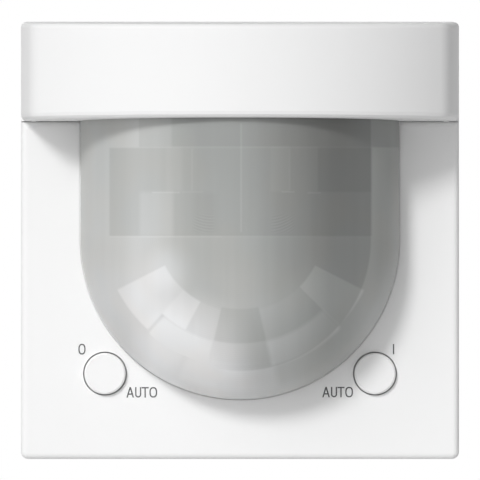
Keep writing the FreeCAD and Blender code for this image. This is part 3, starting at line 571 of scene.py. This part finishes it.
def print_mark(name, glyphs, material):
    """Outlines (each with its left edge and foot) become one thin raised print on the plate."""
    curve = bpy.data.curves.new(name + "_outline", "CURVE")
    curve.dimensions = "2D"
    curve.fill_mode = "BOTH"
    curve.extrude = (MARK_LIFT + MARK_ROOT) / 2
    for outlines, left, foot in glyphs:
        for outline in outlines:
            spline = curve.splines.new("POLY")
            spline.points.add(len(outline) - 1)
            for point, (x, z) in zip(spline.points, outline):
                point.co = (left + x, foot + z, 0, 1)
            spline.use_cyclic_u = True
    holder = bpy.data.objects.new(name + "_outline", curve)
    bpy.context.scene.collection.objects.link(holder)
    bpy.context.view_layer.update()
    mesh = bpy.data.meshes.new_from_object(holder)
    bpy.data.objects.remove(holder)
    bpy.data.curves.remove(curve)
    middle_y = FACE_Y - (MARK_LIFT - MARK_ROOT) / 2
    for vertex in mesh.vertices:
        x, z, out = vertex.co
        vertex.co = (x, middle_y - out, z)
    mesh.name = name
    mesh.materials.clear()
    mesh.materials.append(material)
    piece = bpy.data.objects.new(name, mesh)
    bpy.context.scene.collection.objects.link(piece)
    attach(piece, "detector")


def word(left, foot):
    letters = (letter_a, letter_u, letter_t, letter_o)
    return [(make(width, WORD_HEIGHT), left + start, foot)
            for make, width, start in zip(letters, WORD_WIDTHS, WORD_STARTS)]


ink = moulded("mark_print", INK, 0.55, grain=8000.0, depth=2, cloud=0.10)
print_mark("mark_zero", [(letter_o(*ZERO_SIZE), *ZERO_PLACE)], ink)
print_mark("mark_one", [(letter_i(*ONE_SIZE), *ONE_PLACE)], ink)
print_mark("mark_auto_left", word(*WORD_LEFT_PLACE), ink)
print_mark("mark_auto_right", word(*WORD_RIGHT_PLACE), ink)


# Floor, light and camera

def seen_directly(tree):
    """1 for rays from the camera, a reflection or a clear part, which see the background itself."""
    rays = tree.nodes.new("ShaderNodeLightPath")
    total = rays.outputs["Is Camera Ray"]
    for kind in ("Is Glossy Ray", "Is Transmission Ray"):
        add = tree.nodes.new("ShaderNodeMath")
        add.operation = "MAXIMUM"
        tree.links.new(total, add.inputs[0])
        tree.links.new(rays.outputs[kind], add.inputs[1])
        total = add.outputs[0]
    return total


def make_floor():
    mesh = bpy.data.meshes.new("floor")
    half, level = FLOOR_HALF, cad_box[0][2] - FLOOR_DROP
    corners = [(x * half, y * half, level) for x, y in ((-1, -1), (1, -1), (1, 1), (-1, 1))]
    mesh.from_pydata(corners, [], [(0, 1, 2, 3)])
    floor = bpy.data.objects.new("floor", mesh)
    bpy.context.scene.collection.objects.link(floor)
    shader = Shader("floor_pale", (FLOOR_GREY,) * 3, 0.9)
    darker = (FLOOR_GREY - FLOOR_MOTTLE,) * 3
    paler = (FLOOR_GREY + FLOOR_MOTTLE,) * 3
    shader.colour(shader.blend(shader.noise(4.0), darker, paler))
    lift = shader.math("MULTIPLY", seen_directly(shader.tree), FLOOR_GLOW)
    glow = shader.node("ShaderNodeEmission")
    shader.feed(glow.inputs["Strength"], lift)
    both = shader.node("ShaderNodeAddShader")
    shader.feed(both.inputs[0], shader.main.outputs["BSDF"])
    shader.feed(both.inputs[1], glow.outputs[0])
    shader.feed(shader.output.inputs["Surface"], both.outputs[0])
    mesh.materials.append(shader.material)


def make_world():
    world = bpy.data.worlds.new("studio")
    bpy.context.scene.world = world
    world.use_nodes = True
    tree = world.node_tree
    background = tree.nodes["Background"]
    background.inputs["Color"].default_value = (1, 1, 1, 1)
    ray = tree.nodes.new("ShaderNodeTexCoord")
    parts = tree.nodes.new("ShaderNodeSeparateXYZ")
    tree.links.new(ray.outputs["Generated"], parts.inputs["Vector"])
    room = tree.nodes.new("ShaderNodeMapRange")
    tree.links.new(parts.outputs["Y"], room.inputs["Value"])
    limits = {"From Min": 0.0, "From Max": -1.0, "To Min": ROOM_LEVEL, "To Max": ROOM_LEVEL + ROOM_FRONT}
    for socket, number in limits.items():
        room.inputs[socket].default_value = number
    leftward = tree.nodes.new("ShaderNodeMath")
    leftward.operation = "MULTIPLY_ADD"
    tree.links.new(parts.outputs["X"], leftward.inputs[0])
    leftward.inputs[1].default_value = -ROOM_LEFT
    tree.links.new(room.outputs["Result"], leftward.inputs[2])
    level = tree.nodes.new("ShaderNodeMix")
    level.data_type = "FLOAT"
    tree.links.new(seen_directly(tree), level.inputs["Factor"])
    tree.links.new(leftward.outputs["Value"], level.inputs["A"])
    level.inputs["B"].default_value = 1.0
    tree.links.new(level.outputs["Result"], background.inputs["Strength"])


def make_lamps():
    for name, towards, strength, angle in LAMPS:
        lamp = bpy.data.lights.new(name, "SUN")
        lamp.energy = strength
        lamp.angle = angle
        holder = bpy.data.objects.new(name, lamp)
        holder.rotation_euler = towards.to_track_quat("Z", "Y").to_euler()
        holder.visible_glossy = name != "behind"     # it would glare along the top
        bpy.context.scene.collection.objects.link(holder)


def make_camera():
    lens = bpy.data.cameras.new("camera")
    lens.lens = CAMERA_LENS
    lens.sensor_width = SENSOR_WIDTH
    lens.clip_start = CLIP_START
    lens.clip_end = CLIP_END
    camera = bpy.data.objects.new("camera", lens)
    camera.location = (0.0, FACE_Y - CAMERA_DISTANCE, 0.0)
    camera.rotation_euler = (math.radians(90), 0, 0)
    bpy.context.scene.collection.objects.link(camera)
    bpy.context.scene.camera = camera


make_floor()
make_world()
make_lamps()
make_camera()
bpy.context.scene.view_settings.view_transform = "Standard"
